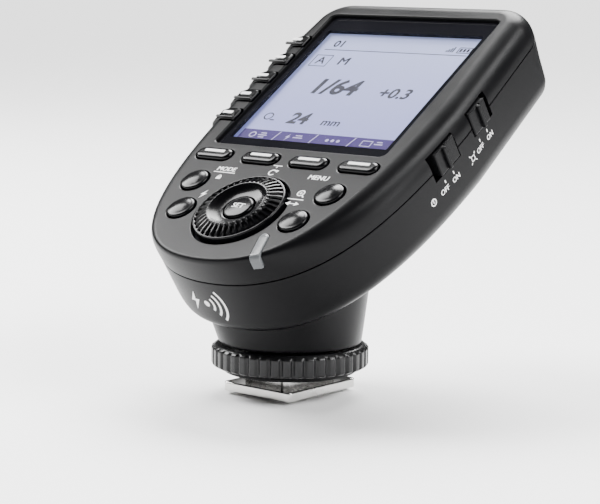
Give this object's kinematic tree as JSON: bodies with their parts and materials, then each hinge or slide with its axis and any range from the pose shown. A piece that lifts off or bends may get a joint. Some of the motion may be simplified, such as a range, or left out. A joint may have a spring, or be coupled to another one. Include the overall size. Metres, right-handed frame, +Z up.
{
  "type": "wireless flash trigger",
  "caption": "Slanted control head with display, keys and dial on a hot-shoe foot with a screw-down locking ring; sends flash settings by radio.",
  "frame": {"origin": "centre of the foot plate's bottom face, at the shoe's centre contact", "axes": "+Z up out of the camera's shoe, +Y towards the far, higher end of the head, -Y towards the user, +X to the user's right"},
  "size_m": [0.0642, 0.0863, 0.0806],
  "materials": {
    "case_plastic": "fine-textured matt dark grey moulding",
    "key_plastic": "satin near-black moulding",
    "window_plastic": "clear gloss window with a dark border",
    "lcd": "lit display, lavender grey",
    "white_plastic": "white light guide",
    "lamp_plastic": "translucent light grey light pipe",
    "rubber": "silicone key mat",
    "circuit_board": "green solder mask",
    "red_lens": "transparent deep red",
    "cell_sleeve": "printed sleeve",
    "steel": "bright nickel-plated steel",
    "contact_metal": "gold-plated"
  },
  "bodies": {
    "case": {"upper_shell": "case_plastic", "lower_shell": "case_plastic", "shoe_neck": "case_plastic", "screen_window": "window_plastic", "lcd_panel": "lcd", "lcd_backlight": "white_plastic", "dial_encoder": "key_plastic", "status_lamp": "lamp_plastic", "power_switch_body": "key_plastic", "af_switch_body": "key_plastic", "keypad_mat": "rubber", "main_board": "circuit_board", "radio_shield": "steel", "usb_port": "steel", "sync_jack": "key_plastic", "battery_cell_1": "cell_sleeve", "battery_cell_2": "cell_sleeve", "battery_spring_1": "steel", "battery_contact_plate": "steel", "af_lamp_lens": "red_lens", "af_lamp_led": "red_lens", "foot_plate": "steel", "foot_insulator": "key_plastic", "foot_screw_1": "steel", "foot_screw_2": "steel", "foot_screw_3": "steel", "foot_screw_4": "steel", "case_screw_1": "steel", "case_screw_2": "steel", "case_screw_3": "steel", "case_screw_4": "steel", "neck_screw_1": "steel", "neck_screw_2": "steel"},
    "function_key_1": {"function_key_1": "key_plastic"},
    "function_key_2": {"function_key_2": "key_plastic"},
    "function_key_3": {"function_key_3": "key_plastic"},
    "function_key_4": {"function_key_4": "key_plastic"},
    "group_key_a": {"group_key_a": "key_plastic"},
    "group_key_b": {"group_key_b": "key_plastic"},
    "group_key_c": {"group_key_c": "key_plastic"},
    "group_key_d": {"group_key_d": "key_plastic"},
    "group_key_e": {"group_key_e": "key_plastic"},
    "mode_key": {"mode_key": "key_plastic"},
    "menu_key": {"menu_key": "key_plastic"},
    "flash_test_key": {"flash_test_key": "key_plastic"},
    "zoom_key": {"zoom_key": "key_plastic"},
    "set_button": {"set_button": "key_plastic"},
    "dial_wheel": {"dial_wheel": "key_plastic"},
    "power_switch_knob": {"power_switch_knob": "key_plastic"},
    "af_switch_knob": {"af_switch_knob": "key_plastic"},
    "battery_door": {"battery_door": "case_plastic", "battery_spring_2": "steel", "door_contact_bridge": "steel"},
    "shoe_clamp": {"pressure_washer": "steel", "locking_pin": "steel"},
    "lock_ring": {"lock_ring": "key_plastic"},
    "centre_contact": {"centre_contact": "contact_metal"},
    "shoe_pin_1": {"shoe_pin_1": "contact_metal"},
    "shoe_pin_2": {"shoe_pin_2": "contact_metal"},
    "shoe_pin_3": {"shoe_pin_3": "contact_metal"}
  },
  "joints": [
    {"name": "function_key_1_press", "type": "slide", "parent": "case", "child": "function_key_1", "axis": [0, 0.5519, -0.8339], "range_m": [0, 0.0005], "stiffness_N_per_m": 300, "springref_m": -0.001},
    {"name": "function_key_2_press", "type": "slide", "parent": "case", "child": "function_key_2", "axis": [0, 0.5519, -0.8339], "range_m": [0, 0.0005], "stiffness_N_per_m": 300, "springref_m": -0.001},
    {"name": "function_key_3_press", "type": "slide", "parent": "case", "child": "function_key_3", "axis": [0, 0.5519, -0.8339], "range_m": [0, 0.0005], "stiffness_N_per_m": 300, "springref_m": -0.001},
    {"name": "function_key_4_press", "type": "slide", "parent": "case", "child": "function_key_4", "axis": [0, 0.5519, -0.8339], "range_m": [0, 0.0005], "stiffness_N_per_m": 300, "springref_m": -0.001},
    {"name": "group_key_a_press", "type": "slide", "parent": "case", "child": "group_key_a", "axis": [0, 0.5519, -0.8339], "range_m": [0, 0.0004], "stiffness_N_per_m": 300, "springref_m": -0.001},
    {"name": "group_key_b_press", "type": "slide", "parent": "case", "child": "group_key_b", "axis": [0, 0.5519, -0.8339], "range_m": [0, 0.0004], "stiffness_N_per_m": 300, "springref_m": -0.001},
    {"name": "group_key_c_press", "type": "slide", "parent": "case", "child": "group_key_c", "axis": [0, 0.5519, -0.8339], "range_m": [0, 0.0004], "stiffness_N_per_m": 300, "springref_m": -0.001},
    {"name": "group_key_d_press", "type": "slide", "parent": "case", "child": "group_key_d", "axis": [0, 0.5519, -0.8339], "range_m": [0, 0.0004], "stiffness_N_per_m": 300, "springref_m": -0.001},
    {"name": "group_key_e_press", "type": "slide", "parent": "case", "child": "group_key_e", "axis": [0, 0.5519, -0.8339], "range_m": [0, 0.0004], "stiffness_N_per_m": 300, "springref_m": -0.001},
    {"name": "mode_key_press", "type": "slide", "parent": "case", "child": "mode_key", "axis": [0, 0.5519, -0.8339], "range_m": [0, 0.0005], "stiffness_N_per_m": 300, "springref_m": -0.001},
    {"name": "menu_key_press", "type": "slide", "parent": "case", "child": "menu_key", "axis": [0, 0.5519, -0.8339], "range_m": [0, 0.0005], "stiffness_N_per_m": 300, "springref_m": -0.001},
    {"name": "flash_test_key_press", "type": "slide", "parent": "case", "child": "flash_test_key", "axis": [0, 0.5519, -0.8339], "range_m": [0, 0.0005], "stiffness_N_per_m": 300, "springref_m": -0.001},
    {"name": "zoom_key_press", "type": "slide", "parent": "case", "child": "zoom_key", "axis": [0, 0.5519, -0.8339], "range_m": [0, 0.0005], "stiffness_N_per_m": 300, "springref_m": -0.001},
    {"name": "set_button_press", "type": "slide", "parent": "case", "child": "set_button", "axis": [0, 0.5519, -0.8339], "range_m": [0, 0.0005], "stiffness_N_per_m": 300, "springref_m": -0.001},
    {"name": "dial_turn", "type": "hinge", "parent": "case", "child": "dial_wheel", "pos_m": [0, -0.01601, 0.0398], "axis": [0, -0.5519, 0.8339], "continuous": true},
    {"name": "power_switch_slide", "type": "slide", "parent": "case", "child": "power_switch_knob", "axis": [0, 0.8339, 0.5519], "range_m": [-0.0015, 0]},
    {"name": "af_switch_slide", "type": "slide", "parent": "case", "child": "af_switch_knob", "axis": [0, 0.8339, 0.5519], "range_m": [0, 0.0015]},
    {"name": "battery_door_slide", "type": "slide", "parent": "case", "child": "battery_door", "axis": [0, 0.8339, 0.5519], "range_m": [0, 0.045]},
    {"name": "clamp_travel", "type": "slide", "parent": "case", "child": "shoe_clamp", "axis": [0, 0, -1], "range_m": [0, 0.0018]},
    {"name": "lock_ring_turn", "type": "hinge", "parent": "shoe_clamp", "child": "lock_ring", "pos_m": [0, 0, 0.0077], "axis": [0, 0, 1], "range_deg": [0, 432]},
    {"name": "centre_contact_press", "type": "slide", "parent": "case", "child": "centre_contact", "axis": [0, 0, 1], "range_m": [0, 0.0007], "stiffness_N_per_m": 200, "springref_m": -0.001},
    {"name": "shoe_pin_1_press", "type": "slide", "parent": "case", "child": "shoe_pin_1", "axis": [0, 0, 1], "range_m": [0, 0.0007], "stiffness_N_per_m": 200, "springref_m": -0.001},
    {"name": "shoe_pin_2_press", "type": "slide", "parent": "case", "child": "shoe_pin_2", "axis": [0, 0, 1], "range_m": [0, 0.0007], "stiffness_N_per_m": 200, "springref_m": -0.001},
    {"name": "shoe_pin_3_press", "type": "slide", "parent": "case", "child": "shoe_pin_3", "axis": [0, 0, 1], "range_m": [0, 0.0007], "stiffness_N_per_m": 200, "springref_m": -0.001}
  ],
  "couplings": [
    {"joint": "lock_ring_turn", "follows": "clamp_travel", "rad_per_m": 4188.8}
  ]
}
